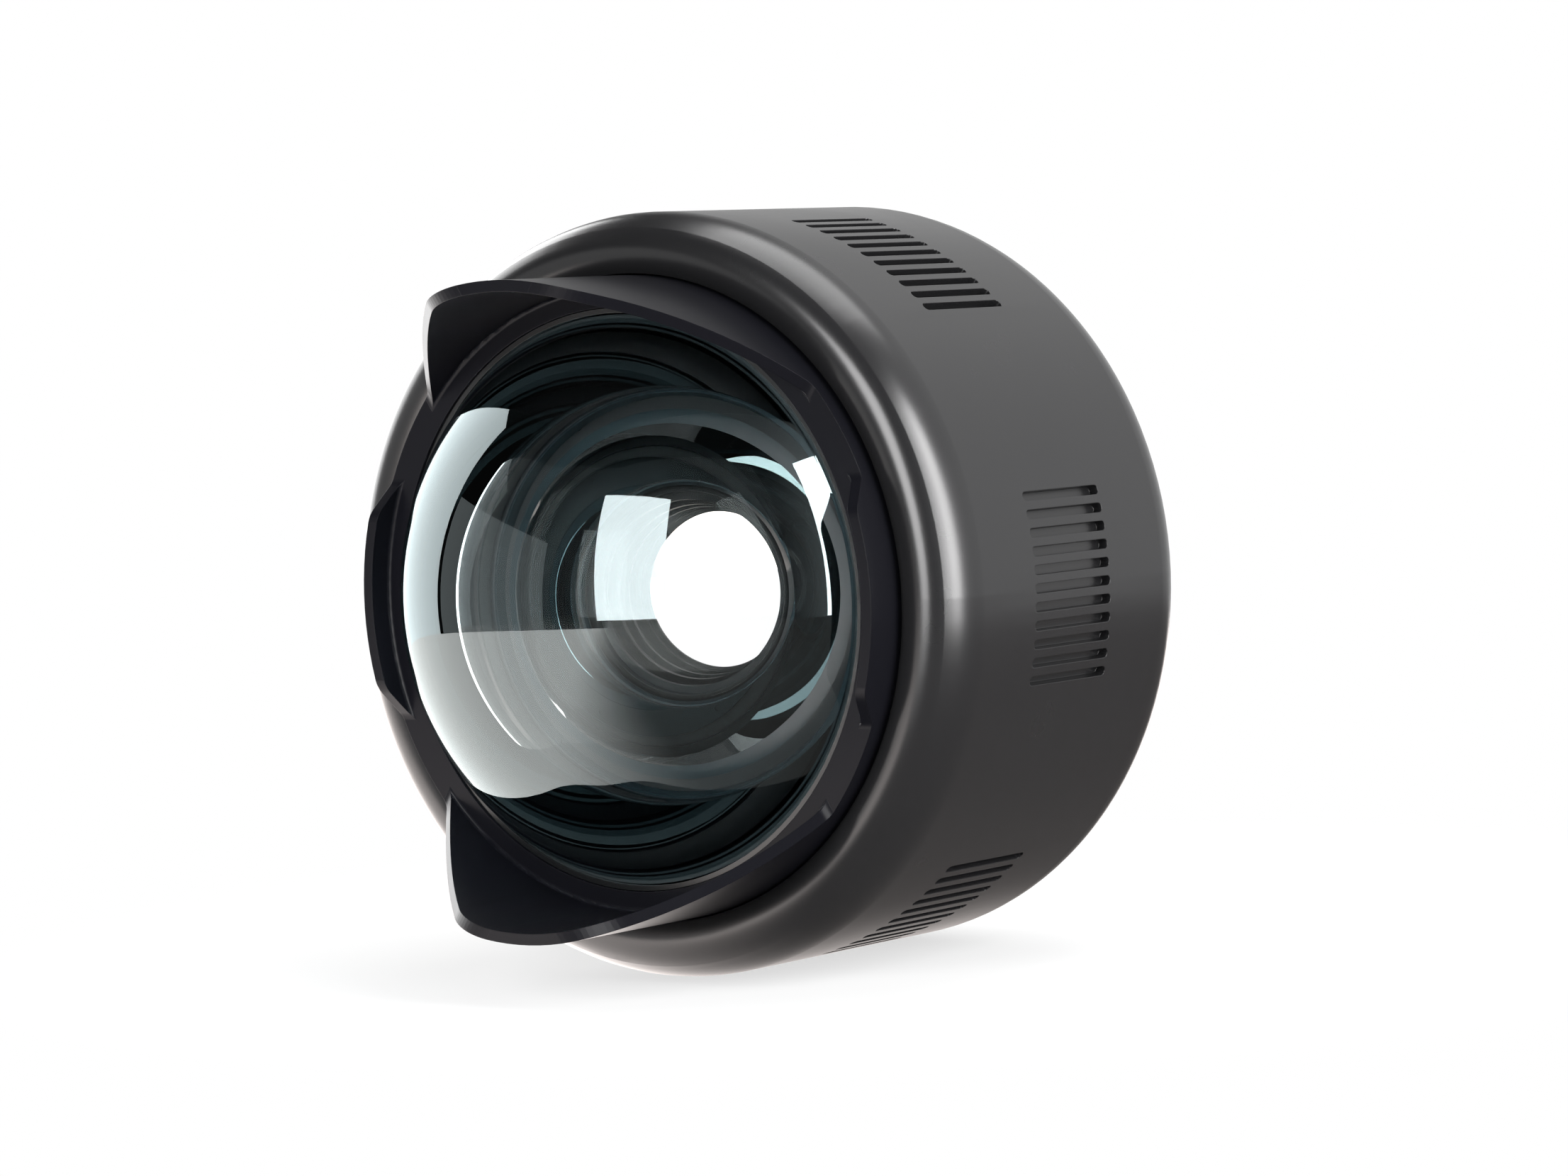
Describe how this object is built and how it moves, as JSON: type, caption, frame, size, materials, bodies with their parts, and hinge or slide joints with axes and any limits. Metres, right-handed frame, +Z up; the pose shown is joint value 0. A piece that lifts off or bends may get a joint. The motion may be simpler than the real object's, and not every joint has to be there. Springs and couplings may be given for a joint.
{
  "type": "wide angle conversion port",
  "caption": "Wide angle conversion port for an underwater camera housing: bulging front glass, petal hood, slotted buoyancy collar and a bayonet rear mount with a sealing spigot.",
  "frame": {"origin": "on the optical axis, in the plane where the port's flange seats on a housing", "axes": "+Y along the optical axis toward the housing, so the front glass looks along -Y; +Z up, through the middle of the upper tall petal"},
  "size_m": [0.19, 0.1782, 0.19],
  "materials": {
    "collar_anodised": "satin black anodised",
    "hood_anodised": "satin black anodised with a slight blue cast",
    "barrel_anodised": "satin black anodised",
    "mount_anodised": "satin black anodised",
    "cell_anodised": "matt black anodised",
    "ring_anodised": "satin black anodised",
    "screw_steel": "stainless steel",
    "seal_rubber": "matt black nitrile",
    "front_glass": "coated optical glass",
    "second_glass": "coated optical glass",
    "inner_glass": "coated optical glass"
  },
  "bodies": {
    "port": {"collar_shell": "collar_anodised", "collar_rear_plate": "collar_anodised", "collar_front_seal": "seal_rubber", "collar_rear_seal": "seal_rubber", "collar_plate_screws": "screw_steel", "collar_mount_screws": "screw_steel", "main_barrel": "barrel_anodised", "front_element": "front_glass", "front_element_seal": "seal_rubber", "front_retaining_ring": "ring_anodised", "second_element": "second_glass", "second_retaining_ring": "ring_anodised", "inner_cell": "cell_anodised", "inner_cell_screws": "screw_steel", "third_element": "inner_glass", "third_retaining_ring": "ring_anodised", "doublet_front_element": "inner_glass", "doublet_rear_element": "inner_glass", "spacer_ring": "cell_anodised", "sixth_element": "inner_glass", "sixth_retaining_ring": "ring_anodised", "rear_cell": "cell_anodised", "rear_cell_seal": "seal_rubber", "rear_element": "inner_glass", "rear_retaining_ring": "ring_anodised", "port_mount_ring": "mount_anodised", "port_mount_screws": "screw_steel", "port_mount_seal": "seal_rubber", "port_o_ring": "seal_rubber"},
    "hood": {"petal_hood": "hood_anodised", "hood_set_screws": "screw_steel"}
  },
  "joints": [
    {"name": "hood_turn", "type": "hinge", "parent": "port", "child": "hood", "pos_m": [0, -0.105, 0], "axis": [0, -1, 0], "continuous": true}
  ]
}
